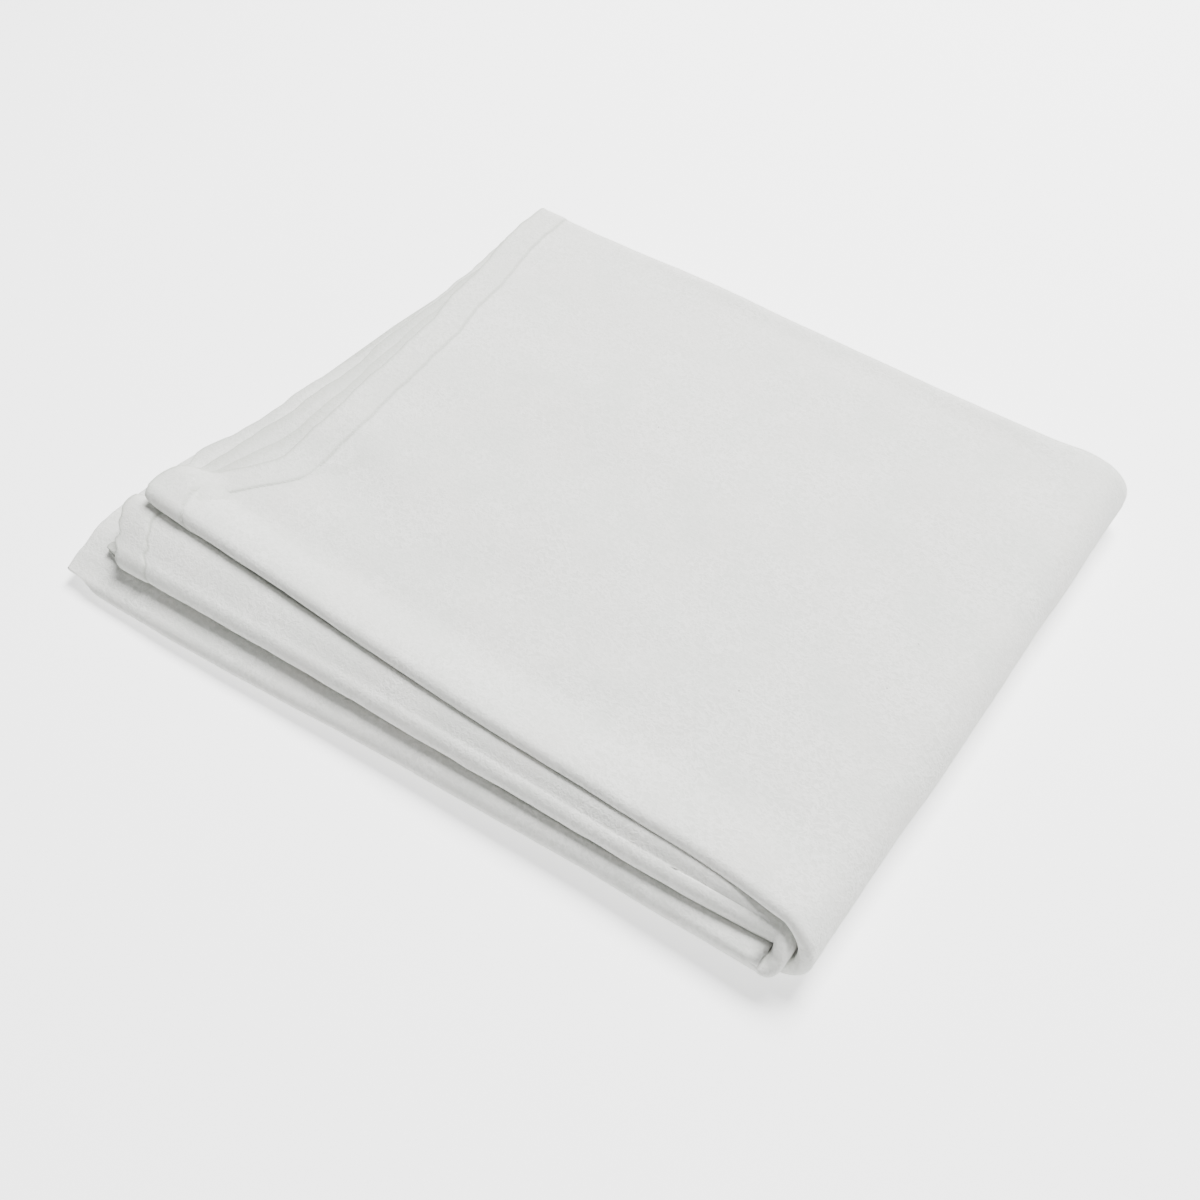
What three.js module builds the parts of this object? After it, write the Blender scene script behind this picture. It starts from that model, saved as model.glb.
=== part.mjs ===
// A turban cloth put away flat. One long length of thin cotton is gathered into plies,
// its two long sides are turned in and it is closed like a gate, and the strip that
// this gives is doubled over, so that eight leaves of cloth lie on each other.
// Units are millimetres. +X runs from the hemmed ends to the closed bend, +Y from the
// soft near rolls to the closed back fold, and +Z is up.
import * as THREE from 'three';

// Driving sizes of the folded pad
const foldedLength = 329; // longest leaf, from its hem to the outside of the bend
const foldedWidth = 250; // narrowest leaf, from the back fold to its near roll
const leafThickness = 2.8; // one leaf is eight plies of the cloth
const leafGap = 0.6; // air between two leaves

// Driving sizes of the rolls, the hem and the slack in the cloth
const hemWidth = 17; // turned hem across the ends of the cloth
const hemRise = 0.5; // how far the turned hem stands above its leaf
const hemStep = 1.5; // length over which the hem steps down to its leaf
const selvedgeClearance = 3; // from a tucked selvedge to the inside of the back fold
const rollFullness = 4.2; // height of the top roll beyond two flat leaves, at its hem end
const rollFullnessAtBend = 1.6; // the same where it meets the bend
const rollLead = 17; // width over which a leaf swells into the top roll
const rollLift = 3.4; // air under the top roll at its hem end
const rollLiftAtBend = 0.8; // air under the top roll where it meets the bend
const innerFullness = 0.14; // swelling of an inner roll at its hem, a share of its free width
const sagReach = 30; // width over which leaves past the bottom roll sink to the floor
const cornerReach = 22; // width over which a hem draws back round its near corner
const backCloseWidth = 20; // width over which the air under the top leaf closes at the back fold
const earHeight = 3; // small ear that the back fold pushes out beside the bend
const earLength = 11; // half length of the ear
const earInset = 8; // from the axis of the bend to the middle of the ear
const earWidth = 24; // width over which the ear rises towards the back fold

// Where each near roll stands, measured from the back fold as shares of foldedWidth,
// and the power of the distance from the bend by which it fans out towards the hem
const rollRows = {
  outerUpper: { atBend: 1.0, atHem: 1.054, power: 0.75 },
  outerLower: { atBend: 1.006, atHem: 1.09, power: 1.0 },
  innerUpper: { atBend: 1.012, atHem: 1.144, power: 0.75 },
  innerLower: { atBend: 1.038, atHem: 1.226, power: 1.22 },
};

// The runs of the section from one selvedge to the other. Levels count leaves from the
// middle plane of the pad. Recesses are shares of foldedLength by which the hem of the
// run's start and end stay behind the longest leaf, above and below the middle plane.
const runRows = [
  { run: 'upper tucked leaf', from: 2, to: 2, upper: [0.06, 0.07], lower: [0.045, 0.04] },
  { run: 'outer roll', from: 2, to: 3, upper: [0.07, 0.07], lower: [0.04, 0.04] },
  { run: 'outer leaf', from: 3, to: 3, upper: [0.07, 0.045], lower: [0.04, 0.045] },
  { run: 'back fold', from: 3, to: 0, upper: [0.045, 0.05], lower: [0.045, 0.045] },
  { run: 'middle leaf', from: 0, to: 0, upper: [0.05, 0.035], lower: [0.045, 0.0] },
  { run: 'inner roll', from: 0, to: 1, upper: [0.035, 0.035], lower: [0.0, 0.0] },
  { run: 'lower tucked leaf', from: 1, to: 1, upper: [0.035, 0.055], lower: [0.0, 0.045] },
];
const runNamed = (name) => runRows.findIndex((row) => row.run === name);
const outerRoll = runNamed('outer roll');
const outerLeaf = runNamed('outer leaf');
const backFold = runNamed('back fold');
const middleLeaf = runNamed('middle leaf');
const innerRoll = runNamed('inner roll');

// How far the hem draws back at the near corner of each roll, as shares of foldedLength
const cornerRows = { outerUpper: 0.012, outerLower: 0.03, innerUpper: 0.06, innerLower: 0.085 };

// The top ply stops short of the plies below it: its extra recess, as a share of
// foldedLength, at shares of foldedWidth from the back fold
const topPlyRows = [
  { across: 0.0, recess: 0.0 },
  { across: 0.18, recess: 0.012 },
  { across: 0.32, recess: 0.026 },
  { across: 0.5, recess: 0.062 },
  { across: 0.65, recess: 0.068 },
  { across: 0.82, recess: 0.086 },
  { across: 0.9, recess: 0.074 },
  { across: 0.98, recess: 0.01 },
  { across: 1.0, recess: 0.0 },
];

// How far the top leaf stands off the leaf below it. Middles and half sizes are shares of
// foldedLength from the hem end and of foldedWidth from the back fold, heights are shares
// of leafThickness, and drift is the move across, in widths, for each length along.
const swellRows = [
  { swell: 'crown of the pad', along: 0.56, across: 0.42, halfLength: 0.66, halfWidth: 0.5,
    drift: 0, height: 0.62 },
  { swell: 'fold behind the trough', along: 0.36, across: 0.74, halfLength: 0.5, halfWidth: 0.16,
    drift: -0.1, height: 0.3 },
  { swell: 'slack at the hem', along: 0.12, across: 0.5, halfLength: 0.16, halfWidth: 0.24,
    drift: 0, height: 0.3 },
  { swell: 'hollow by the hem corner', along: 0.2, across: 0.8, halfLength: 0.2, halfWidth: 0.1,
    drift: 0.15, height: -0.5 },
];

// Columns on a flat leaf, at shares of its width from the middle of its roll
const leafColumns = [0.014, 0.032, 0.056, 0.085, 0.12, 0.165, 0.24, 0.38, 0.56, 0.74, 0.88, 0.95];

const { lerp, clamp, smoothstep } = THREE.MathUtils;
const leafPitch = leafThickness + leafGap;
const edge = leafThickness / 2;
const halfHeight = level(3) + edge; // middle plane to the outside of the pad
const bendAxis = foldedLength - halfHeight; // hem end at x = 0, back fold at y = 0
const sagDepth = 2 * leafPitch - leafGap; // height of what lies under the inner roll
const outerRunStart = 2; // lowest level of the runs that lead to the outer roll

// Centre line of a flat leaf, from the middle plane
function level(leaf) {
  return (leaf + 0.5) * leafPitch;
}

// Share of the way from the bend to the longest hem
function hemShare(x) {
  return clamp((bendAxis - x) / bendAxis, 0, 1);
}

// Distance of one near roll from the back fold, at x
function reachOf(row, x) {
  const share = hemShare(x);
  return foldedWidth * lerp(row.atBend, row.atHem, share ** row.power);
}

// Reaches of both near rolls at x; turn is 0 above the middle plane and 1 below it
function reaches(x, turn) {
  return {
    outer: lerp(reachOf(rollRows.outerUpper, x), reachOf(rollRows.outerLower, x), turn),
    inner: lerp(reachOf(rollRows.innerUpper, x), reachOf(rollRows.innerLower, x), turn),
    innerFree: lerp(
      reachOf(rollRows.innerUpper, x) - reachOf(rollRows.outerUpper, x),
      reachOf(rollRows.innerLower, x) - reachOf(rollRows.innerUpper, x),
      turn,
    ),
  };
}

// Centre line of the section at x: v counts runs, and the result is a place across the
// pad and a height from the middle plane
function centreLine(v, x, turn) {
  const index = Math.min(Math.floor(v), runRows.length - 1);
  const run = runRows[index];
  const u = v - index;
  const reach = reaches(x, turn);
  const settled = 1 - smoothstep(turn, 0, 0.5);
  const lift = lerp(rollLiftAtBend, rollLift, hemShare(x)) * settled;
  const fullness = lerp(rollFullnessAtBend, rollFullness, hemShare(x)) * settled;
  const outerTop = level(3) + lift + fullness;
  const outerBottom = level(2) + lift;
  const outerRadius = (outerTop - outerBottom) / 2;
  const outerMiddle = -reach.outer + edge + outerRadius;
  const swell = innerFullness * reach.innerFree * hemShare(x);
  const innerTop = level(1) + swell * (1 - turn);
  const innerBottom = level(0) - swell * turn;
  const innerRadius = (innerTop - innerBottom) / 2;
  const innerMiddle = -reach.inner + edge + innerRadius;
  const backRadius = (level(3) - level(0)) / 2;
  const backMiddle = -edge - backRadius;
  if (index === outerRoll) {
    return arc(outerMiddle, (outerTop + outerBottom) / 2, -outerRadius, -outerRadius, u);
  }
  if (index === innerRoll) {
    return arc(innerMiddle, (innerTop + innerBottom) / 2, -innerRadius, -innerRadius, u);
  }
  if (index === backFold) {
    return arc(backMiddle, (level(3) + level(0)) / 2, backRadius, backRadius, u);
  }
  const onOuter = run.from >= outerRunStart;
  const rollMiddle = onOuter ? outerMiddle : innerMiddle;
  const rollReach = onOuter ? reach.outer : reach.inner;
  const tucked = run.from === 1 || run.from === 2;
  const selvedge = -leafThickness - selvedgeClearance - 2 * (rollReach - foldedWidth);
  const far = tucked ? selvedge : backMiddle;
  const startsFar = index < outerRoll || index === middleLeaf;
  const across = lerp(rollMiddle, far, startsFar ? 1 - u : u);
  const lead = onOuter ? rollLead : reach.innerFree;
  const near = 1 - smoothstep(across, rollMiddle, rollMiddle + lead);
  const swollen = [innerBottom, innerTop, outerBottom, outerTop][run.from];
  const air = index === outerLeaf ? standOff(x, across) * (1 - near) * (1 - turn) : 0;
  return [across, lerp(level(run.from), swollen, near) + air];
}

// Height by which the top leaf stands off the leaf below, fading out at the back fold
function standOff(x, y) {
  const height = swellRows.reduce((sum, row) => {
    const along = x / foldedLength - row.along;
    const across = -y / foldedWidth - row.across - row.drift * along;
    const far = Math.hypot(along / row.halfLength, across / row.halfWidth);
    return sum + row.height * leafThickness * (1 - smoothstep(far, 0, 1));
  }, 0);
  const closed = 2 * leafPitch;
  return Math.max(height, 0) * smoothstep(-y, closed, closed + backCloseWidth);
}

// Half turn about (y, q), from q + radiusQ towards y + radiusY and on to q - radiusQ
function arc(y, q, radiusY, radiusQ, u) {
  const angle = Math.PI * u;
  return [y + radiusY * Math.sin(angle), q + radiusQ * Math.cos(angle)];
}

// Direction out of the cloth's outer face at v, square to the centre line
function outward(v, x, turn) {
  const small = 1e-4;
  const before = centreLine(Math.max(v - small, 0), x, turn);
  const after = centreLine(Math.min(v + small, runRows.length), x, turn);
  const along = new THREE.Vector2(after[0] - before[0], after[1] - before[1]).normalize();
  return [-along.y, along.x];
}

// Value of a column of a table between its rows
function fromRows(rows, key, column, at) {
  const upper = rows.findIndex((row) => row[key] >= at);
  if (upper < 0) return rows[rows.length - 1][column];
  if (upper === 0) return rows[0][column];
  const low = rows[upper - 1];
  const high = rows[upper];
  return lerp(low[column], high[column], smoothstep(at, low[key], high[key]));
}

// Where the hem lies for the run at v, on the outer face (1) or the inner face (-1)
function hemPlace(v, turn, face) {
  const index = Math.min(Math.floor(v), runRows.length - 1);
  const run = runRows[index];
  const u = v - index;
  const upper = lerp(run.upper[0], run.upper[1], u);
  const lower = lerp(run.lower[0], run.lower[1], u);
  const [across] = centreLine(v, 0, turn);
  const reach = reaches(0, turn);
  const onOuter = index <= outerLeaf;
  const toEdge = across + (onOuter ? reach.outer : reach.inner);
  const corner = onOuter
    ? lerp(cornerRows.outerUpper, cornerRows.outerLower, turn)
    : lerp(cornerRows.innerUpper, cornerRows.innerLower, turn);
  const drawn = index === backFold ? 0 : corner * (1 - smoothstep(toEdge, 0, cornerReach));
  const top = index === outerLeaf && face > 0
    ? fromRows(topPlyRows, 'across', 'recess', -across / foldedWidth) * (1 - turn)
    : 0;
  return foldedLength * (lerp(upper, lower, turn) + drawn + top);
}

// Share of the hem's rise that has room on the outer face of the run at v
function hemRoom(v, turn) {
  const index = Math.min(Math.floor(v), runRows.length - 1);
  const u = v - index;
  if (index === outerRoll) return smoothstep(u, 0, 1) * (1 - turn);
  if (index === outerLeaf) return 1 - turn;
  if (index === backFold) return (1 - smoothstep(u, 0, 0.5)) * (1 - turn);
  if (index === innerRoll) return Math.sin(Math.PI * u);
  return 0;
}

// The pad's slack: what hangs past the bottom roll sinks to the floor, and the back fold
// pushes out a small ear beside the bend
function slacken(x, y, z) {
  const past = -y - reachOf(rollRows.outerLower, x);
  const sag = sagDepth * smoothstep(past, 0, sagReach);
  const earPlace = (x - (bendAxis - earInset)) / earLength;
  const ear = earHeight * Math.exp(-earPlace * earPlace) * smoothstep(y, -earWidth, 0);
  return new THREE.Vector3(x, y + ear, z - sag);
}

// Stations of the sweep from the upper hem over the bend to the lower hem. A straight
// station has a share of the way from hem to bend, a bend station only a turn.
function sweepStations() {
  const straightSteps = 10;
  const bendSteps = 9;
  const hemShares = [0, hemWidth / bendAxis, (hemWidth + hemStep) / bendAxis];
  const lastHem = hemShares[hemShares.length - 1];
  const shares = [...hemShares];
  for (let step = 1; step <= straightSteps; step += 1) {
    shares.push(lerp(lastHem, 1, step / straightSteps));
  }
  const upper = shares.map((share, index) => ({ share, turn: 0, hem: index < 2 ? 1 : 0 }));
  const lower = upper.map((station) => ({ ...station, turn: 1 })).reverse();
  const bend = [];
  for (let step = 1; step < bendSteps; step += 1) {
    bend.push({ share: 1, turn: step / bendSteps, hem: 0 });
  }
  return [...upper, ...bend, ...lower];
}

// Columns across the section: close together at the rolls, where the leaves swell and sag,
// and at the far side of a leaf, where the back fold begins
function sectionColumns() {
  const turnSteps = 8;
  const columns = [0];
  runRows.forEach((run, index) => {
    const turns = Array.from({ length: turnSteps }, (_, step) => (step + 1) / turnSteps);
    const startsFar = index < outerRoll || index === middleLeaf;
    const fromRoll = [...leafColumns, 1];
    const fromFar = [0, ...leafColumns].map((share) => 1 - share).reverse();
    const leaf = startsFar ? fromFar : fromRoll;
    (run.from === run.to ? leaf : turns).forEach((u) => columns.push(index + u));
  });
  return columns;
}

// One point of the cloth's surface, on its outer face (1) or inner face (-1)
function surfacePoint(station, v, face) {
  const { share, turn, hem } = station;
  const x = lerp(hemPlace(v, turn, face), bendAxis, share);
  const [across, height] = centreLine(v, x, turn);
  const [normalAcross, normalHeight] = outward(v, x, turn);
  const rise = face > 0 ? hem * hemRise * hemRoom(v, turn) : 0;
  const offset = face * edge + rise;
  const y = across + normalAcross * offset;
  const q = height + normalHeight * offset;
  const angle = Math.PI * turn;
  return slacken(x + q * Math.sin(angle), y, halfHeight + q * Math.cos(angle));
}

// Closed body between the two faces of the cloth
function clothGeometry() {
  const stations = sweepStations();
  const columns = sectionColumns();
  const points = [];
  const triangles = [];
  const last = { row: stations.length - 1, column: columns.length - 1 };
  [1, -1].forEach((face) => {
    stations.forEach((station) => {
      columns.forEach((v) => points.push(...surfacePoint(station, v, face).toArray()));
    });
  });
  const at = (row, column, inner) => (inner * stations.length + row) * columns.length + column;
  const quad = (a, b, c, d) => triangles.push(a, c, b, a, d, c);
  for (let row = 0; row < last.row; row += 1) {
    for (let column = 0; column < last.column; column += 1) {
      quad(at(row, column, 0), at(row, column + 1, 0), at(row + 1, column + 1, 0),
        at(row + 1, column, 0));
      quad(at(row, column, 1), at(row + 1, column, 1), at(row + 1, column + 1, 1),
        at(row, column + 1, 1));
    }
  }
  for (let row = 0; row < last.row; row += 1) {
    quad(at(row, 0, 0), at(row + 1, 0, 0), at(row + 1, 0, 1), at(row, 0, 1));
    quad(at(row, last.column, 0), at(row, last.column, 1), at(row + 1, last.column, 1),
      at(row + 1, last.column, 0));
  }
  for (let column = 0; column < last.column; column += 1) {
    quad(at(0, column, 0), at(0, column, 1), at(0, column + 1, 1), at(0, column + 1, 0));
    quad(at(last.row, column, 0), at(last.row, column + 1, 0), at(last.row, column + 1, 1),
      at(last.row, column, 1));
  }
  const geometry = new THREE.BufferGeometry();
  geometry.setAttribute('position', new THREE.Float32BufferAttribute(points, 3));
  geometry.setIndex(triangles);
  geometry.computeVertexNormals();
  return geometry;
}

// The cloth lies with the middle of its underside at the origin
function turbanCloth() {
  const material = new THREE.MeshStandardMaterial({ color: 0xdddcd6, roughness: 0.92, metalness: 0 });
  const mesh = new THREE.Mesh(clothGeometry(), material);
  mesh.name = 'turban_cloth';
  mesh.geometry.computeBoundingBox();
  const { min, max } = mesh.geometry.boundingBox;
  mesh.position.set(-(min.x + max.x) / 2, -(min.y + max.y) / 2, -min.z);
  return mesh;
}

const part = new THREE.Group();
part.add(turbanCloth());

export default part;
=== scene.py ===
import math
import bpy
import numpy as np
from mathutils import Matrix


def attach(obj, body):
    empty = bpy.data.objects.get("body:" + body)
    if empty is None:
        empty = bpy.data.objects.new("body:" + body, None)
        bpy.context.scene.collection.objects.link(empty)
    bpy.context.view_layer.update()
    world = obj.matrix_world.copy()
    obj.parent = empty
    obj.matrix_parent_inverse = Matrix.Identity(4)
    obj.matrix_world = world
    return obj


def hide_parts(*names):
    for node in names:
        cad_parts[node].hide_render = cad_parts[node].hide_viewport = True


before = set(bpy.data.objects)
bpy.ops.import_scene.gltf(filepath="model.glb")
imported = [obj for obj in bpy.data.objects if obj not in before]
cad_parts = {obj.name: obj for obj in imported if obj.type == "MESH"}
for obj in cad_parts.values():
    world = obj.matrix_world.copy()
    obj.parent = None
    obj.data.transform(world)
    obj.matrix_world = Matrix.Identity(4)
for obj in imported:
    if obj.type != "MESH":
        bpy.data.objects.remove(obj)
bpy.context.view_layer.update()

# A turban cloth put away flat: one long length of thin cotton in sixty-four plies.
# Shape functions work in millimetres, with the hem end at x = 0, the back fold at y = 0
# and the floor at z = 0; toPart moves their points into the CAD frame, in metres.
mm = 0.001
toPart = np.array([-165.05, 150.13, 0.0])
print("frame loaded, nodes:", sorted(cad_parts))

# Camera at the photograph's angle, square pixels, nothing shifted
shot = dict(place=(182.15, -226.07, 337.1), azimuth=38.5, elevation=52.1, lens=31.95, sensor=36.0)


def makeCamera():
    data = bpy.data.cameras.new("shotCamera")
    data.lens = shot["lens"]
    data.sensor_width = shot["sensor"]
    camera = bpy.data.objects.new("shotCamera", data)
    camera.location = [c * mm for c in shot["place"]]
    camera.rotation_euler = (math.radians(90 - shot["elevation"]), 0, math.radians(shot["azimuth"]))
    bpy.context.scene.collection.objects.link(camera)
    bpy.context.scene.camera = camera


makeCamera()
print("camera placed")

# The folded pad: the same sizes as the CAD solid, in millimetres
pad = dict(
    length=329.0, width=250.0,      # longest leaf with its bend, and back fold to near roll
    leaf=2.8, air=0.6, plies=8,     # a leaf is eight plies, with air to the next leaf
    selvedge=3.0,                   # from a tucked selvedge to the back fold
    fullness=(0.0, 2.4),            # height of the top roll beyond flat leaves, at bend and hem
    lift=(2.4, 5.2),                # how far it rides up on the roll below, at bend and hem
    lead=(27.0, 16.0),              # width over which the leaves swell into their rolls
    crisp=(0.55, 0.85),             # shares of the way to the hem where the valley turns sharp
    knob=(33.0, 46.0, 13.0, 10.5),  # x where the hem's lump on the top roll ends, its width and slope
    boxed=(262.0, 312.0),           # x where the rolls start and end to close on each other
    square=(0.8, 0.3),              # power of their round there, of the outer and the inner roll
    flat=(296.0, 318.0),            # x over which the middle roll stops swelling
    wrap=(1.2, 3.2),                # bulge of the outer and the inner roll round the bend
    slope=(1.0, 0.55),              # share of the lift left at the edge of the roll below, at bend and hem
    slopeEnd=(3.0, 4.0),            # how far before the top roll the slope ends, and its least width
    bulge=(3.2, 2.2),               # how far the middle roll swells before the top one, at bend and hem
    lowSwell=(2.8, 0.2),            # and the lowest roll before the middle one
    bare=0.3,                       # share of the tucked leaf's run that lies before the top roll
    under=2.0,                      # and how far this share goes on below that roll
    peak=0.9,                       # share of the way to the top roll where the middle one has swollen
    middleEdge=(-0.3, 2.2),         # y from the edge of the top roll over which that swelling ends
    lowEdge=(-0.3, 2.5),            # y from the edge of the middle roll over which the lowest one's ends
    sag=30.0,                       # width over which the free rolls sink to the floor
    backClose=20.0,                 # width over which the top leaf closes down at the back fold
)
rolls = dict(                       # reach from the back fold, by x
    outerUpper=((0, 262), (100, 258.5), (200, 254), (250, 250.5), (290, 247.5), (316, 248)),
    innerUpper=((0, 288), (100, 277), (200, 266), (290, 256), (316, 252)),
    innerLower=((0, 300), (100, 287.5), (200, 273.5), (290, 263), (316, 260.5)),
    outerLower=((0, 272), (100, 266), (200, 259), (290, 254), (316, 254)),
)
ear = dict(height=3.0, halfLength=11.0, inset=8.0, width=24.0)
crowns = (  # swellings of the top leaf: middle x, middle y, half sizes, drift, height in leaves
    (0.56, 0.42, 0.66, 0.50, 0.0, 0.62),
    (0.36, 0.74, 0.50, 0.16, -0.1, 0.30),
    (0.12, 0.50, 0.16, 0.24, 0.0, 0.30),
    (0.20, 0.80, 0.20, 0.10, 0.15, -0.50),
)
pitch = pad["leaf"] + pad["air"]
edge = pad["leaf"] / 2
levels = [(k + 0.5) * pitch for k in range(4)]
halfHeight = levels[3] + edge
bendAxis = pad["length"] - halfHeight


def ease(t, low, high):  # 0 below low, 1 above high, and 3s2 - 2s3 between
    s = np.clip((t - low) / (high - low), 0, 1)
    return s * s * (3 - 2 * s)


def beyond(at, line, span):  # the same over a span that is counted from a line
    return ease(at, line + span[0], line + span[1])


def mix(a, b, t):
    return a + (b - a) * t


def curveThrough(rows, at):  # Hermite curve through (place, value) rows
    place, value = np.array(rows, float).T
    slope = np.gradient(value, place)
    at = np.clip(at, place[0], place[-1])
    k = np.clip(np.searchsorted(place, at, side="right") - 1, 0, len(place) - 2)
    step = place[k + 1] - place[k]
    t = (at - place[k]) / step
    ends = value[k] * (1 + 2 * t) * (1 - t) ** 2 + value[k + 1] * t * t * (3 - 2 * t)
    return ends + step * (slope[k] * t * (1 - t) ** 2 - slope[k + 1] * t * t * (1 - t))


def toHem(x):  # share of the way from the bend to the hem end
    return np.clip((bendAxis - x) / bendAxis, 0, 1)


def reachOf(roll, x):
    return curveThrough(rolls[roll], x)


# How far the top leaf stands off the one below: a sum of soft domes, shut at the back fold
def standOff(x, y):
    total = 0
    for along, across, halfLength, halfWidth, drift, height in crowns:
        a = x / pad["length"] - along
        b = -y / pad["width"] - across - drift * a
        total = total + height * pad["leaf"] * (1 - ease(np.hypot(a / halfLength, b / halfWidth), 0, 1))
    closed = 2 * pitch
    return np.maximum(total, 0) * ease(-y, closed, closed + pad["backClose"])


# Centre line of the section at x. v counts its runs from selvedge to selvedge: tucked leaf,
# outer roll, outer leaf, back fold, middle leaf, inner roll, tucked leaf. Leaves run straight
# from the middle of their roll and swell beside it, and rolls and back fold are half circles.
def sectionLine(v, x, turn):
    v, x, turn = np.broadcast_arrays(v, x, turn)
    run = np.minimum(v.astype(int), 6)
    u = v - run
    hem = toHem(x)
    settled = 1 - ease(turn, 0, 0.5)
    halfTurn = np.sin(math.pi * turn)
    outerReach = mix(reachOf("outerUpper", x), reachOf("outerLower", x), turn) + pad["wrap"][0] * halfTurn
    innerReach = mix(reachOf("innerUpper", x), reachOf("innerLower", x), turn) + pad["wrap"][1] * halfTurn
    free = mix(reachOf("innerUpper", x) - reachOf("outerUpper", x),
               reachOf("innerLower", x) - reachOf("innerUpper", x), turn)
    lifted = mix(*pad["lift"], hem) * settled
    outerBottom = levels[2] + lifted
    outerTop = levels[3] + lifted + mix(*pad["fullness"], hem) * settled
    outerRadius = (outerTop - outerBottom) / 2
    outerMiddle = -outerReach + edge + outerRadius
    kept = mix(*pad["slope"], hem)
    innerTop = levels[1] + lifted * kept
    puffed = 1 - ease(x, *pad["flat"])
    innerBottom = levels[0] - mix(*pad["lowSwell"], hem) * turn
    innerRadius = (innerTop - innerBottom) / 2
    innerMiddle = -innerReach + edge + innerRadius
    backRadius = (levels[3] - levels[0]) / 2
    backMiddle = -edge - backRadius
    shut = -pad["leaf"] - pad["selvedge"]
    outerShut = shut - 2 * (outerReach - pad["width"])
    innerShut = shut - 2 * (innerReach - pad["width"])
    angle = math.pi * u
    boxed = mix(1, np.where(run < 3, *pad["square"]), ease(x, *pad["boxed"]))
    turnY = np.maximum(np.sin(angle), 0) ** np.where(u < 0.5, boxed, 1)
    turnQ = np.cos(angle)

    lead = mix(*pad["lead"], hem)
    crisp = ease(hem, *pad["crisp"]) * settled
    knobStart, knobEnd, knobWidth, knobSlope = pad["knob"]
    knob = (1 - ease(x, knobStart, knobEnd)) * settled
    topLead = mix(lead, knobSlope, knob)
    topMiddle = outerMiddle + knobWidth * knob

    def leaf(start, end, at, level, swollen, middle, lead, crisp=0):
        across = mix(start, end, at)
        near = 1 - ease(across, middle, middle + lead)
        sharp = np.cos(math.pi / 2 * np.clip((across - middle) / lead, 0, 1))
        near = mix(near, sharp, crisp)
        return across, mix(level, swollen, near), near

    tuckedOuter = leaf(outerShut, outerMiddle, u, levels[2], outerBottom, outerMiddle, lead)
    outer = leaf(outerMiddle, backMiddle, u, levels[3], outerTop, topMiddle, topLead, crisp * (1 - knob))
    middleY = mix(backMiddle, innerMiddle, u)
    rollEdge = -reachOf("innerUpper", x)
    middleQ = mix(innerBottom, levels[0], beyond(middleY, rollEdge, pad["lowEdge"]))
    rollEdge = -outerReach
    bareU = u / pad["bare"]
    bareEnd = rollEdge + pad["under"]
    tuckedInner = np.where(bareU < 1, mix(innerMiddle, bareEnd, np.minimum(bareU, 1)),
                           mix(bareEnd, innerShut, (u - pad["bare"]) / (1 - pad["bare"])))
    before, least = pad["slopeEnd"]
    sloping = 1 - ease(tuckedInner, innerMiddle, innerMiddle + np.maximum(free - before, least))
    underRoll = 1 - ease(tuckedInner, outerMiddle, outerMiddle + lead)
    swelling = ease(tuckedInner, innerMiddle, mix(innerMiddle, rollEdge, pad["peak"]))
    swelling = swelling * (1 - beyond(tuckedInner, rollEdge, pad["middleEdge"]))
    tuckedTop = levels[1] + lifted * underRoll * mix(1, kept, sloping)
    tuckedTop = tuckedTop + mix(*pad["bulge"], hem) * settled * swelling * puffed
    air = standOff(x, outer[0]) * (1 - outer[2]) * (1 - turn)
    across = np.choose(run, [
        tuckedOuter[0], outerMiddle - outerRadius * turnY, outer[0], backMiddle + backRadius * turnY,
        middleY, innerMiddle - innerRadius * turnY, tuckedInner])
    height = np.choose(run, [
        tuckedOuter[1], (outerTop + outerBottom) / 2 - outerRadius * turnQ, outer[1] + air,
        (levels[3] + levels[0]) / 2 + backRadius * turnQ,
        middleQ, (innerTop + innerBottom) / 2 - innerRadius * turnQ, tuckedTop])
    return across, height


# A point of the cloth: the centre line moved out along its normal, swung round the bend,
# then let down where the free rolls sag, with a small ear at the back of the bend
def onCloth(v, x, turn, offset):
    small = 1e-3
    before = sectionLine(np.maximum(v - small, 0), x, turn)
    after = sectionLine(np.minimum(v + small, 7), x, turn)
    across, height = sectionLine(v, x, turn)
    alongY, alongQ = after[0] - before[0], after[1] - before[1]
    size = np.hypot(alongY, alongQ)
    y = across - alongQ / size * offset
    q = height + alongY / size * offset
    angle = math.pi * turn
    px = x + q * np.sin(angle)
    pz = halfHeight + q * np.cos(angle)
    sagDepth = 2 * pitch - pad["air"]
    pz = pz - sagDepth * ease(-y - reachOf("outerLower", px), 0, pad["sag"])
    earPlace = (px - (bendAxis - ear["inset"])) / ear["halfLength"]
    y = y + ear["height"] * np.exp(-earPlace ** 2) * ease(y, -ear["width"], 0)
    return np.stack(np.broadcast_arrays(px, y, pz), -1)


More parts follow.
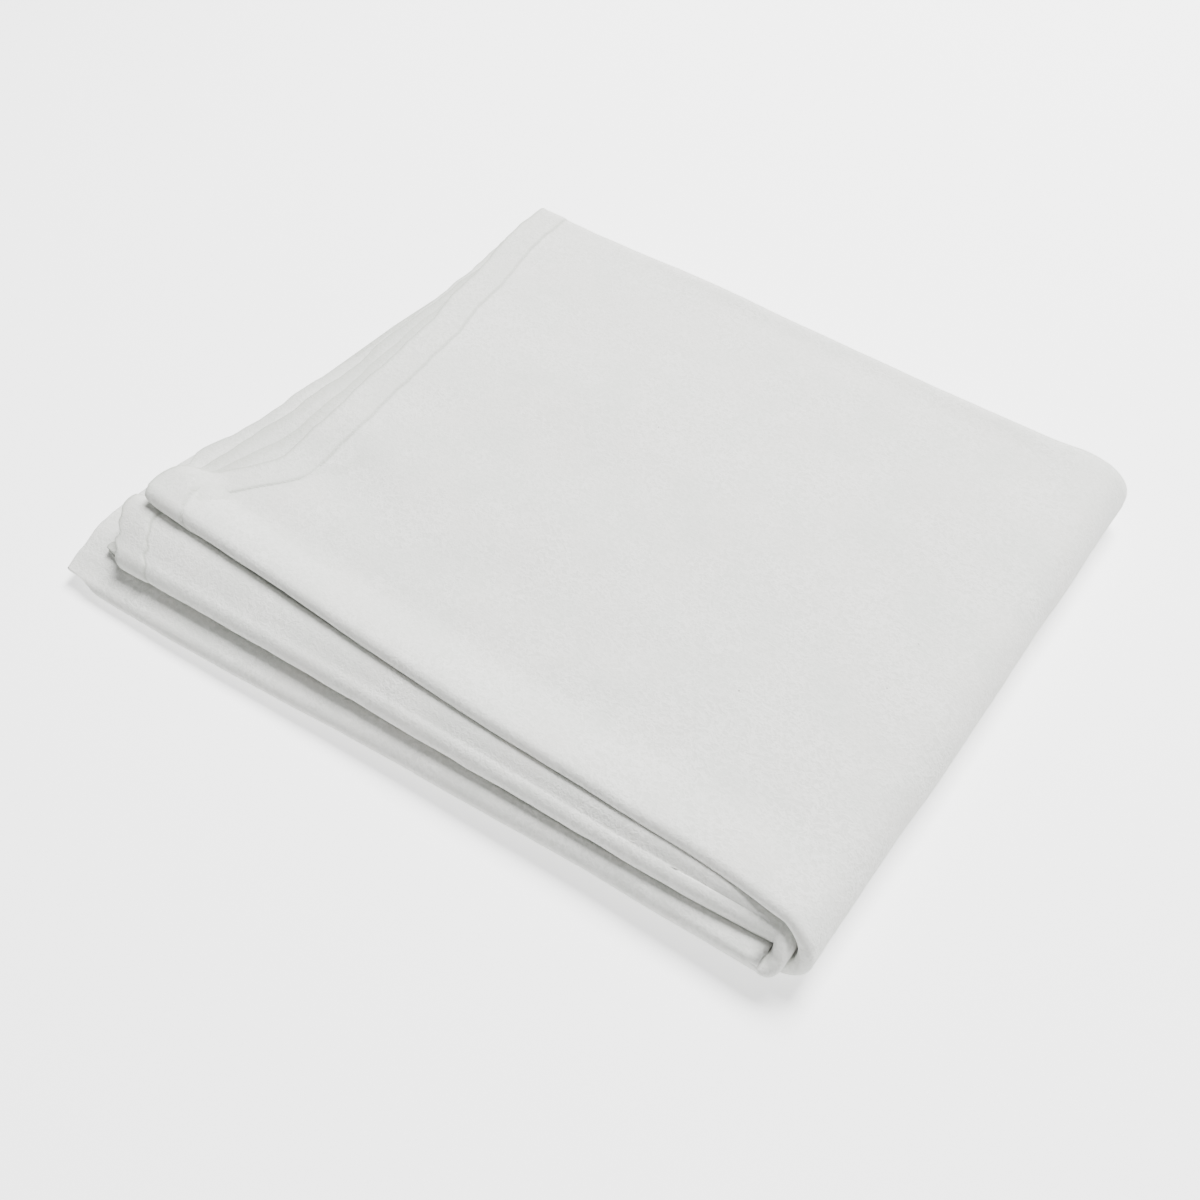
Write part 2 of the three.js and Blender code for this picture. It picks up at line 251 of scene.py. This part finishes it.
# Where each ply ends. The cloth runs to and fro through the pad eight times, and stack
# says in which layer of a leaf each pass lies, from the outer face in.
stack = [1, 8, 5, 4, 3, 6, 7, 2]
hemSet = dict(
    width=15.5, wider=5.0,                  # of the turned hem, and how much wider round the top roll
    rise=0.45, riseEdge=(-0.4, 2.0),        # of the turned hem, and where it ends round the seam
    groove=0.5, grooveWidth=0.8,            # along the seam
    curl=0.35, curlWidth=1.6,               # of the cloth's rim
    wave=0.8, waveLengths=(90, 34, 13),     # of the hem's line, the longest wave in full
    ragged=1.3, raggedLength=6.7,           # short waves where the hem is frayed
    raggedAt=5.4, raggedReach=16,           # v of their middle, and how far they reach
)
topHems = {  # x of the upper hem on the top leaf by layer, at shares from the near roll to the back
    1: ((0, 26), (.05, 26), (.09, 34), (.16, 45), (.24, 45), (.52, 37), (.71, 27), (.79, 24), (.87, 17),
        (1, 12.5)),
    2: ((0, 26), (.05, 25.5), (.09, 30), (.16, 35), (.36, 35), (.52, 31), (.71, 24), (.79, 21.5), (.87, 16),
        (1, 12.5)),
    3: ((0, 26), (.06, 24), (.16, 25), (.36, 27), (.52, 24), (.71, 21.5), (.79, 20), (.87, 15), (1, 12.5)),
    5: ((0, 26), (.05, 25), (.11, 16.5), (.18, 19), (.36, 22), (.71, 21), (.79, 19), (.87, 14.5), (1, 12.5)),
}
sideHems = {  # x of the hem on every other part, by v, at the upper end and the lower
    0: ((0, 24), (.6, 30), (1, 42), (1.2, 42), (1.5, 30), (2, 26), (3, 12.5), (4, 13), (4.85, 16), (5.2, 29),
        (5.5, 35), (5.8, 31), (6.05, 27), (6.2, 19.5), (6.45, 23), (7, 20)),
    1: ((0, 16), (1.5, 21), (2, 18), (3, 15), (4.5, 15), (4.65, 10), (4.8, 3), (4.95, 7), (5.05, 15.5),
        (5.3, 25), (5.6, 30), (5.8, 24), (6, 20), (7, 20)),
}
stagger = {1: 0.0, 2: 1.5, 3: 2.5, 4: 2.5, 5: 0.6, 6: 2.4, 7: 2.4, 8: 0.6}


def waves(p, seed, lengths, count=14):  # sum of plane waves in seeded directions, about -1 to 1
    rng = np.random.default_rng(seed)
    total = 0
    for k in range(count):
        way = rng.normal(size=3)
        way = way / np.linalg.norm(way)
        length = rng.uniform(*lengths)
        total = total + np.sin((p @ way) * 2 * math.pi / length + rng.uniform(0, 2 * math.pi))
    return total / math.sqrt(count / 2) / 1.6


def hemX(v, turn, layer):
    across, height = sectionLine(v, 0 * v, turn)
    length = spread(np.hypot(np.diff(across), np.diff(height)))
    place = curveThrough(sideHems[turn], v)
    if not turn:
        group = {1: 1, 2: 2, 3: 3, 4: 3}.get(layer, 5)
        place = np.where((v >= 2) & (v < 3), curveThrough(topHems[group], v - 2), place)
    rng = np.random.default_rng(40 + min(layer, 9 - layer) + 10 * turn)
    for wave in hemSet["waveLengths"]:
        size = hemSet["wave"] * (wave / hemSet["waveLengths"][0]) ** 0.7
        place = place + size * np.sin(length * 2 * math.pi / wave + rng.uniform(0, 6))
    roll = np.interp(hemSet["raggedAt"], v, length)
    frayed = hemSet["ragged"] * np.exp(-((length - roll) / hemSet["raggedReach"]) ** 2) * (1 - turn)
    place = place + frayed * np.sin(length * 2 * math.pi / hemSet["raggedLength"] + rng.uniform(0, 6))
    return place + stagger[layer]


def spread(steps):  # running total that starts at 0
    return np.concatenate([[0], np.cumsum(steps)])


# Rows of the sheet, in order along the cloth. Each has a layer depth from the leaf's centre
# line, the distance d from its hem and the share s of the rest of the way to the bend.
rowSet = dict(
    upperHem=(0.0, 0.4, 1.2, 3.0, 5.5, 8.5, 11.5, 13.5, 14.4, 15.0, 15.5, 16.0, 16.6, 17.3, 18.1, 18.9, 19.7,
              20.5, 21.4, 22.5, 24.0),
    lowerHem=(0.0, 0.5, 1.5, 3.0, 5.5, 8.5, 12.0, 15.0, 17.0, 18.2, 19.4, 20.6, 21.8, 23.0, 24.2, 25.4, 26.6,
              27.8, 29.0, 30.2, 31.4, 32.6, 33.8, 35.0, 36.2, 37.4, 38.6, 40.0),
    coarseHem=(0.0, 0.6, 6.0, 24.0),
    upper=98, lower=46, bend=28, coarseBend=9,
    crowd=1.06,                                           # how the rows draw together at the bend
    coarse=(0.12, 0.34, 0.58, 0.78, 0.9, 0.965, 1.0),
    turnedIn=(14.5, 12.0, 9.0, 6.0, 4.0, 2.5, 1.0, 0.2),  # d in the turned-in part of the first hem
    under=0.12,                                           # how far that part lies below its ply
    fold=(0.1, 0.35, 0.6),                                # its fold: rise, bulge and share of the relief
)


def depthOf(layer):
    return edge - (layer - 0.5) * pad["leaf"] / pad["plies"]


def passRows(layer, dense):  # one pass from the upper hem round the bend to the lower hem
    halves = []
    for turn, name, count in ((0, "upperHem", rowSet["upper"]), (1, "lowerHem", rowSet["lower"])):
        hems = rowSet[name] if dense else rowSet["coarseHem"]
        shares = 1 - (1 - np.linspace(0, 1, count + 1)[1:]) ** rowSet["crowd"] if dense else rowSet["coarse"]
        halves.append([(d, 0.0, turn) for d in hems] + [(hems[-1], s, turn) for s in shares])
    bend = rowSet["bend"] if dense else rowSet["coarseBend"]
    turning = [(24.0, 1.0, k / bend) for k in range(1, bend)]
    return [(d, s, t, layer) for d, s, t in halves[0] + turning + halves[1][::-1]]


def sheetRows():  # d, s, turn, layer, depth, bulge past the hem at a fold, and share of the relief
    under = depthOf(1) - rowSet["under"]
    rows = [(d, 0.0, 0.0, 1, under, 0.0, 0.0) for d in rowSet["turnedIn"]]
    rise, bulge, raised = rowSet["fold"]
    rows.append((0.0, 0.0, 0.0, 1, depthOf(1) + rise, bulge, raised))
    for k, layer in enumerate(stack):
        cloth = passRows(layer, k == 0)
        if k % 2:
            cloth = cloth[::-1]
        rows += [(d, s, t, layer, depthOf(layer), 0.0, 1.0) for d, s, t, _ in cloth]
        if k + 1 < len(stack):
            other = stack[k + 1]
            turn = cloth[-1][2]
            radius = abs(depthOf(layer) - depthOf(other)) / 2
            for phi in (math.pi / 4, math.pi / 2, 3 * math.pi / 4):
                depth = mix(depthOf(layer), depthOf(other), (1 - math.cos(phi)) / 2)
                rows.append((0.0, 0.0, turn, layer, depth, radius * math.sin(phi), 1.0))
    return rows


def columnsOfSection():
    lead = [0.004, 0.01, 0.017, 0.025, 0.034, 0.044, 0.054, 0.064, 0.075, 0.086, 0.098, 0.11]
    top = np.concatenate([lead, np.linspace(0.124, 0.96, 66), [0.972, 0.982, 0.991, 1.0]])
    hidden = np.array([0.014, 0.032, 0.056, 0.085, 0.12, 0.165, 0.24, 0.4, 0.6, 0.8, 0.93, 1.0])
    toRoll = np.concatenate([[0.07, 0.2, 0.38], np.linspace(0.55, 0.88, 11), np.linspace(0.9, 0.95, 5),
                             np.linspace(0.958, 1, 18)])
    fromRoll = np.concatenate([np.linspace(0.016, 0.304, 19), [0.35, 0.42, 0.54, 0.7, 0.85, 1.0]])
    runs = [
        np.append((1 - hidden[::-1])[1:], 1.0), np.linspace(0, 1, 23)[1:], top,
        np.linspace(0, 1, 11)[1:], toRoll, np.linspace(0, 1, 21)[1:], fromRoll]
    return np.concatenate([[0.0]] + [k + u for k, u in enumerate(runs)])


# Small relief of the cloth, in millimetres out of its face, and how much painted shade each place gets:
# soft waves, creases along lines in space, the turned hem and its stitched groove, with painted shade in the
# narrow creases, the groove, over the hem, at hem rims and on the lower plies
wrinkles = (  # height, stretch, seed and wave lengths
    (0.34, (1, 1, 0.6), 3, (45, 90)),
    (0.11, (1, 1, 1), 5, (14, 30)),
    (0.04, (1, 1, 1), 8, (5, 10)),
)
hiddenShare = 0.2  # of the wrinkles' height where nobody sees them
innerLoss = 0.14   # how much less each further ply follows a crease or a hollow
# how dark the painted shade is in narrow creases, the seam's groove, over the turned hem, along each hem's rim
# and on the plies under the top one
paintedShadeSet = dict(
    crease=0.6, creaseUpTo=2, groove=0.8, rise=0.17, hemEdge=0.8, hemEdgeWidth=0.9, underPlies=0.32)
creases = (  # both ends, width and depth
    ((44, -238.5, 26.5), (110, -238.5, 26.5), 1.2, 0.6),    # line behind the top roll's lump
    ((41, -281, 10.8), (43, -288.5, 9.6), 1.0, 0.3),        # tuck round the lowest roll
    ((43, -288.5, 9.6), (46, -294.5, 7), 1.0, 0.3),
    ((46, -294.5, 7), (46.6, -296.5, 2.5), 1.0, 0.3),
    ((60, -238, 26.5), (250, -224, 26.5), 8.0, 0.8),        # valley behind the top roll
    ((316, -257, 14), (317.8, -259.3, 10), 0.8, 0.5),       # short lines at the near end of the bend
    ((316.5, -254.5, 15), (319.8, -255.9, 16.9), 0.7, 0.5),
    ((323.5, -251, 17), (325.3, -252.5, 10.6), 0.8, 0.5),
    ((324.1, -250.1, 21.5), (327, -248, 22.3), 0.8, 0.4),
)
hollows = (  # middle, half sizes and depth of the soft dents in the top leaf
    (66, -204, 44, 22, 1.5),
    (150, -205, 70, 24, 0.5),
    (252, -150, 60, 60, -0.6),
    (110, -120, 60, 50, -0.5),
)
backSet = dict(bulge=1.6, across=(-16, -3), start=(60, 130), end=(280, 312))  # rise along the back fold


def nearLine(p, first, last):  # distance from the line, and the place along it from 0 to 1
    first, last = np.array(first, float), np.array(last, float)
    way = last - first
    t = ((p - first) @ way) / (way @ way)
    return np.linalg.norm(p - first - np.clip(t, 0, 1)[..., None] * way, axis=-1), t


def seamAt(v):  # width of the turned hem, wider round the top roll
    return hemSet["width"] + hemSet["wider"] * ease(v, 1.2, 1.6) * (1 - ease(v, 1.98, 2.05))


def relief(p, v, d, s, turn, layer, raised):
    onTop = ease(v, 1.9, 2.05) * (1 - ease(v, 3.1, 3.4)) * (1 - ease(turn, 0.8, 1))
    onTopRoll = ease(v, 0.9, 1.1) * (1 - ease(v, 1.9, 2.05)) * (1 - turn)
    onRolls = ease(v, 4.5, 4.7) * (1 - ease(v, 6.2, 6.5)) + onTopRoll
    below = (v < 4) * ease(turn, 0.8, 1)
    shown = np.clip(onTop + onRolls, hiddenShare, 1) * (1 - below)
    out = sum(height * waves(p * stretch, seed, lengths) for height, stretch, seed, lengths in wrinkles)
    out = out * shown
    dark = 0 * out
    easing = 1 - innerLoss * (layer - 1)
    for first, last, width, depth in creases:
        far, t = nearLine(p, first, last)
        dent = np.exp(-(far / width) ** 2)
        out = out - depth * dent * easing
        # painted shade along the narrow creases
        dark = dark + paintedShadeSet["crease"] * depth * dent * (width < paintedShadeSet["creaseUpTo"])
    for x, y, halfLength, halfWidth, depth in hollows:
        far = np.hypot((p[..., 0] - x) / halfLength, (p[..., 1] - y) / halfWidth)
        out = out - depth * (1 - ease(far, 0, 1)) * easing * onTop * (v > 2) * (v < 3)
    backEdge = ease(p[..., 1], *backSet["across"]) * ease(p[..., 0], *backSet["start"])
    backEdge = backEdge * (1 - ease(p[..., 0], *backSet["end"]))
    out = out + backSet["bulge"] * backEdge * onTop * easing
    atHem = (s == 0) * (layer == 1) * raised
    upper = atHem * (turn == 0)
    fold = seamAt(v)
    groove = np.exp(-((d - fold) / hemSet["grooveWidth"]) ** 2) * upper
    rise = (1 - beyond(d, fold, hemSet["riseEdge"])) * upper
    rim = (s == 0) * (turn == 0) * np.exp(-(d / hemSet["curlWidth"]) ** 2) * onTop * raised
    out = out + hemSet["rise"] * rise - hemSet["groove"] * groove + hemSet["curl"] * rim * (layer < 4)
    # painted shade in the seam's groove, over the raised hem, along each ply's hem rim and on the plies under the
    # top one
    dark = dark + paintedShadeSet["groove"] * groove + paintedShadeSet["rise"] * rise
    dark = dark + paintedShadeSet["hemEdge"] * (s == 0) * (turn == 0) * np.exp(-(d / paintedShadeSet["hemEdgeWidth"]) ** 2)
    dark = dark + paintedShadeSet["underPlies"] * (s == 0) * (turn == 0) * (layer > 1) * (layer != 5)
    return out, np.clip(dark, 0, 1)


def buildSheet():
    rows = np.array(sheetRows())
    d, s, turn, layer, depth, bulge, raised = [rows[:, k][:, None] for k in range(7)]
    v = columnsOfSection()
    hemAt = {(end, name): hemX(v, end, name) for end in (0, 1) for name in range(1, 9)}
    folds = {(0, 3): 4, (0, 5): 8, (0, 6): 7, (1, 1): 8, (1, 2): 7, (1, 3): 6, (1, 4): 5}
    for (end, a), b in folds.items():  # the two plies of a fold end together
        hemAt[end, a] = hemAt[end, b] = np.minimum(hemAt[end, a], hemAt[end, b])
    hem = np.stack([hemAt[int(t > 0.5), int(k)] for t, k in zip(turn[:, 0], layer[:, 0])])
    x = mix(hem + d, bendAxis, s) - bulge
    out, dark = relief(onCloth(v, x, turn, depth), v, d, s, turn, layer, raised)
    points = onCloth(v, x, turn, depth + out)
    points[..., 2] = np.maximum(points[..., 2], 0.02 * layer)
    print("sheet rows and columns:", points.shape[:2])
    return points, rows, v, hemAt, dark


def gridFaces(rowCount, columnCount):
    a = (np.arange(rowCount - 1)[:, None] * columnCount + np.arange(columnCount - 1)[None, :]).ravel()
    return np.stack([a, a + columnCount, a + columnCount + 1, a + 1], 1)


def addMesh(name, points, faces, maps=None):
    mesh = bpy.data.meshes.new(name)
    mesh.from_pydata((points + toPart) * mm, [], faces.tolist())
    for mapName, uv in (maps or {}).items():
        layer = mesh.uv_layers.new(name=mapName)
        layer.uv.foreach_set("vector", uv[faces.ravel()].astype(np.float32).ravel())
    mesh.polygons.foreach_set("use_smooth", np.ones(len(faces), bool))
    mesh.update()
    piece = bpy.data.objects.new(name, mesh)
    bpy.context.scene.collection.objects.link(piece)
    return piece


def makeCloth():
    points, rows, v, hemAt, dark = buildSheet()
    alongStep = np.linalg.norm(np.diff(points, axis=0), axis=2).mean(1)
    acrossStep = np.linalg.norm(np.diff(points, axis=1), axis=2).mean(0)
    along, across = spread(alongStep), spread(acrossStep)
    rowCount, columnCount = points.shape[:2]
    cloth = np.stack(np.meshgrid(along * mm, across * mm, indexing="ij"), -1).reshape(-1, 2)
    # The bake's map gives the plies that show more of the image than the hidden ones
    rowShown = np.where(rows[:, 3] == 1, np.where(rows[:, 2] < 0.6, 1.0, 0.5), 0.04)
    columnShown = np.where((v > 1) & (v < 3.6), 1.0, np.where((v > 4.9) & (v < 6.2), 1.0, 0.2))
    bakeU = spread(alongStep * (rowShown[1:] + rowShown[:-1]) / 2)
    bakeV = spread(acrossStep * (columnShown[1:] + columnShown[:-1]) / 2)
    bake = np.stack(np.meshgrid(bakeU / bakeU[-1], bakeV / bakeV[-1], indexing="ij"), -1)
    bake = 0.004 + 0.992 * bake.reshape(-1, 2)
    faces = gridFaces(rowCount, columnCount)
    piece = addMesh("cloth_sheet", points.reshape(-1, 3), faces, {"cloth": cloth, "OFBake": bake})
    # painted shade at each point, which the cotton mixes into its colour
    paintedShade = piece.data.attributes.new("paintedShade", "FLOAT", "POINT")
    paintedShade.data.foreach_set("value", dark.astype(np.float32).ravel())
    print("cloth of %.0f by %.0f mm, %d faces" % (along[-1], across[-1], len(faces)))
    return piece, (across[-1] * mm, along[-1] * mm), hemAt, v


sheetPiece, flatSize, hemAt, sheetV = makeCloth()


# Stitches: short threads along the hem's groove, each a tube of six sides along the cloth
stitchSet = dict(
    pitch=2.8, length=2.0, thickness=0.3, sides=6, steps=5, up=0.1, dip=0.25,
    first=0.6, last=4.2, samples=2400,  # v of the seam's two ends, and places along it
)


def makeStitches():
    v = np.linspace(stitchSet["first"], stitchSet["last"], stitchSet["samples"])
    x = np.interp(v, sheetV, hemAt[0, 1]) + seamAt(v)
    flat = np.zeros_like(v)
    out, _ = relief(onCloth(v, x, flat, flat + depthOf(1)), v, seamAt(v), flat, flat, flat + 1, 1)
    lift = depthOf(1) + out + stitchSet["up"]
    line, inner = onCloth(v, x, flat, lift), onCloth(v, x, flat, lift - 1)
    length = spread(np.linalg.norm(np.diff(line, axis=0), axis=1))
    starts = np.arange(0, length[-1] - stitchSet["pitch"], stitchSet["pitch"])
    steps = np.linspace(0, 1, stitchSet["steps"])
    at = starts[:, None] + stitchSet["length"] * steps
    place = np.stack([np.interp(at, length, line[:, k]) for k in range(3)], -1)
    below = np.stack([np.interp(at, length, inner[:, k]) for k in range(3)], -1)
    up = place - below
    up /= np.linalg.norm(up, axis=-1, keepdims=True)
    way = np.gradient(place, axis=1)
    way /= np.linalg.norm(way, axis=-1, keepdims=True)
    side = np.cross(way, up)
    around = np.linspace(0, 2 * math.pi, stitchSet["sides"], endpoint=False)
    taper = (2 * steps - 1) ** 4
    thick = stitchSet["thickness"] / 2 * np.sqrt(np.clip(1 - taper, 0.04, 1))
    dip = -stitchSet["dip"] * taper
    rings = (place + up * dip[:, None])[:, :, None, :] + thick[:, None, None] * (
        np.cos(around)[:, None] * side[:, :, None, :] + np.sin(around)[:, None] * up[:, :, None, :])
    count, stepCount, sides = rings.shape[:3]
    ring = np.arange(sides)
    a = (np.arange(count)[:, None, None] * stepCount + np.arange(stepCount - 1)[:, None]) * sides + ring
    b = a - ring + (ring + 1) % sides
    faces = np.stack([a, b, b + sides, a + sides], -1).reshape(-1, 4)
    return addMesh("hem_stitches", rings.reshape(-1, 3), faces)


stitches = makeStitches()
print("stitches laid")


class Wire:  # a node socket; sums of wires and numbers add Math nodes
    def __init__(self, tree, socket=None):
        self.tree = tree
        self.socket = socket

    def node(self, kind, settings=None, inputs=None, output=0):
        made = self.tree.nodes.new(kind)
        for name, value in (settings or {}).items():
            setattr(made, name, value)
        for name, value in (inputs or {}).items():
            if isinstance(value, Wire):
                self.tree.links.new(value.socket, made.inputs[name])
            else:
                made.inputs[name].default_value = value
        return Wire(self.tree, made.outputs[output] if made.outputs else None)

    def math(self, operation, first, second):
        return self.node("ShaderNodeMath", {"operation": operation}, {0: first, 1: second})

    def __add__(self, other):
        return self.math("ADD", self, other)

    def __radd__(self, other):
        return self.math("ADD", other, self)

    def __sub__(self, other):
        return self.math("SUBTRACT", self, other)

    def __rsub__(self, other):
        return self.math("SUBTRACT", other, self)

    def __mul__(self, other):
        return self.math("MULTIPLY", self, other)

    def __rmul__(self, other):
        return self.math("MULTIPLY", other, self)


def newMaterial(name):
    material = bpy.data.materials.new(name)
    material.use_nodes = True
    material.node_tree.nodes.clear()
    return material, Wire(material.node_tree)


def showShader(start, shader):
    start.node("ShaderNodeOutputMaterial", None, {"Surface": shader})


def mixColours(start, factor, first, second):
    return start.node("ShaderNodeMix", {"data_type": "RGBA"}, {0: factor, 6: first, 7: second}, 2)


cottonSet = dict(
    # the green-grey (0.42, 0.44, 0.39) is painted shade, for creases, the seam, hem rims and the plies under the
    # top one
    colour=(0.725, 0.733, 0.70, 1), shade=(0.67, 0.682, 0.645, 1), paintedShade=(0.42, 0.44, 0.39, 1),
    warm=(0.735, 0.722, 0.69, 1), fibre=(0.85, 0.85, 0.82, 1), gap=(0.58, 0.59, 0.55, 1),
    speck=(0.2, 0.19, 0.17, 1), speckScale=30,
    threads=(160, 1300),                                        # scale along a thread and across it
    roughness=0.92, sheen=0.15, sheenRoughness=0.5, specular=0.2, bump=0.3, bumpHeight=0.0004,
)
cottonNoise = dict(  # scale, detail and roughness
    fibres=(330, 2, 0.6), gaps=(280, 2, 0.6), clouds=(16, 3, 0.6), mottle=(60, 3, 0.6), warmth=(34, 2, 0.7))
cottonShare = dict(warm=0.5, gap=0.4, fibre=0.45, paintedShade=0.75, speck=0.7)  # most of each colour


def noiseOf(start, place, scale, detail=3, roughness=0.55):
    return start.node("ShaderNodeTexNoise", None,
                      {"Vector": place, "Scale": scale, "Detail": detail, "Roughness": roughness})


def eased(start, value, low, high, first=0.0, last=1.0):  # smooth step of a wire
    return start.node("ShaderNodeMapRange", {"interpolation_type": "SMOOTHSTEP"}, {
        "Value": value, "From Min": low, "From Max": high, "To Min": first, "To Max": last})


# Thin cotton: long uneven threads both ways, short loose fibres in patches, soft clouds of
# tone, a few dark specks, and painted shade in creases, along the seam and hem rims and on the plies below the
# top one
def makeCotton():
    material, start = newMaterial("cottonVoile")
    place = start.node("ShaderNodeUVMap", {"uv_map": "cloth"})
    body = start.node("ShaderNodeTexCoord", output=3)
    along, across = cottonSet["threads"]
    warp = start.node("ShaderNodeMapping", None, {"Vector": place, "Scale": (along, across, 1)})
    weft = start.node("ShaderNodeMapping", None, {
        "Vector": place, "Scale": (across, along, 1), "Location": (7, 3, 0)})
    threads = noiseOf(start, warp, 1.0, 2) + noiseOf(start, weft, 1.0, 2)
    curl = noiseOf(start, body, *cottonNoise["fibres"]) - 0.5
    moved = start.node("ShaderNodeMapping", None, {"Vector": body, "Location": (0.3, 0.7, 0.2)})
    crimp = noiseOf(start, moved, *cottonNoise["gaps"]) - 0.5
    cloudy = noiseOf(start, body, *cottonNoise["clouds"])
    mottle = noiseOf(start, body, *cottonNoise["mottle"])
    patchy = eased(start, mottle + 0.5 * cloudy, 0.62, 0.9, 0.45, 1.0)
    fibres = eased(start, curl * curl, 0.0, 0.006, 1.0, 0.0) * patchy
    gaps = eased(start, crimp * crimp, 0.0, 0.005, 1.0, 0.0) * patchy
    tone = 0.36 * mottle + 0.2 * cloudy + 0.22 * threads
    tint = eased(start, tone, 0.38, 0.62)
    colour = mixColours(start, tint, cottonSet["shade"], cottonSet["colour"])
    warmth = eased(start, noiseOf(start, moved, *cottonNoise["warmth"]), 0.42, 0.58)
    colour = mixColours(start, warmth * cottonShare["warm"], colour, cottonSet["warm"])
    colour = mixColours(start, gaps * cottonShare["gap"], colour, cottonSet["gap"])
    colour = mixColours(start, fibres * cottonShare["fibre"], colour, cottonSet["fibre"])
    # painted shade: the sheet's per-point shade darkens the colour in creases, the seam, hem rims and lower plies
    paintedShade = start.node("ShaderNodeAttribute", {"attribute_name": "paintedShade"}, output=2)
    colour = mixColours(start, paintedShade * cottonShare["paintedShade"], colour, cottonSet["paintedShade"])
    cells = start.node("ShaderNodeTexVoronoi", None, {"Vector": body, "Scale": cottonSet["speckScale"]})
    speck = eased(start, cells, 0.008, 0.014, 1.0, 0.0) * eased(start, cloudy, 0.5, 0.54)
    colour = mixColours(start, speck * cottonShare["speck"], colour, cottonSet["speck"])
    height = 0.5 * threads + 0.8 * fibres - 0.5 * gaps + 0.25 * mottle
    bumped = start.node("ShaderNodeBump", None, {
        "Height": height, "Strength": cottonSet["bump"], "Distance": cottonSet["bumpHeight"]})
    shader = start.node("ShaderNodeBsdfPrincipled", None, {
        "Base Color": colour, "Roughness": cottonSet["roughness"], "Normal": bumped,
        "Sheen Weight": cottonSet["sheen"], "Sheen Roughness": cottonSet["sheenRoughness"],
        "Specular IOR Level": cottonSet["specular"]})
    showShader(start, shader)
    return material


threadSet = dict(
    shade=(0.60, 0.61, 0.59, 1), colour=(0.74, 0.75, 0.73, 1), scale=900, roughness=0.8, sheen=0.2,
    bump=0.3, bumpHeight=0.0002,
)


def makeThread():
    material, start = newMaterial("sewingThread")
    body = start.node("ShaderNodeTexCoord", output=3)
    tone = noiseOf(start, body, threadSet["scale"], 2)
    colour = mixColours(start, tone, threadSet["shade"], threadSet["colour"])
    bumped = start.node("ShaderNodeBump", None, {
        "Height": tone, "Strength": threadSet["bump"], "Distance": threadSet["bumpHeight"]})
    shader = start.node("ShaderNodeBsdfPrincipled", None, {
        "Base Color": colour, "Roughness": threadSet["roughness"], "Normal": bumped,
        "Sheen Weight": threadSet["sheen"]})
    showShader(start, shader)
    return material


sheetPiece.data.materials.append(makeCotton())
stitches.data.materials.append(makeThread())
print("materials made")

# Pale floor that glows a little, because the photograph's is white
floorSet = dict(size=6.0, colour=(0.95, 0.95, 0.95, 1), roughness=0.9, specular=0.1, glow=1.2)


def makeFloor():
    half = floorSet["size"] / 2
    mesh = bpy.data.meshes.new("paleFloor")
    mesh.from_pydata([(-half, -half, 0), (half, -half, 0), (half, half, 0), (-half, half, 0)], [], [(0, 1, 2, 3)])
    floor = bpy.data.objects.new("paleFloor", mesh)
    bpy.context.scene.collection.objects.link(floor)
    material, start = newMaterial("palePaint")
    shader = start.node("ShaderNodeBsdfPrincipled", None, {
        "Base Color": floorSet["colour"], "Roughness": floorSet["roughness"],
        "Specular IOR Level": floorSet["specular"],
        "Emission Color": (1, 1, 1, 1), "Emission Strength": floorSet["glow"]})
    showShader(start, shader)
    mesh.materials.append(material)


worldSet = dict(colour=(1, 1, 1, 1), strength=0.36)
lamps = (  # name, place, size, power; every lamp looks at the middle of the pad
    ("overheadLamp", (-0.05, 0.88, 1.6), 0.8, 122.0),
    ("sideFill", (1.9, -0.1, 0.6), 1.6, 5.0),
)


def makeLights():
    for name, place, size, power in lamps:
        data = bpy.data.lights.new(name, "AREA")
        data.size = size
        data.energy = power
        lamp = bpy.data.objects.new(name, data)
        lamp.location = place
        x, y, z = place
        lamp.rotation_euler = (math.atan2(math.hypot(x, y), z), 0, math.atan2(x, -y))
        bpy.context.scene.collection.objects.link(lamp)
    world = bpy.data.worlds.new("studioLight")
    world.use_nodes = True
    sky = world.node_tree.nodes["Background"].inputs
    sky["Color"].default_value = worldSet["colour"]
    sky["Strength"].default_value = worldSet["strength"]
    bpy.context.scene.world = world


makeFloor()
makeLights()
print("floor and lights set")

# Everything rides on the part's one body, and the sheet stands for the CAD solid
for piece in (sheetPiece, stitches):
    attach(piece, "root")
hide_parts("turban_cloth")
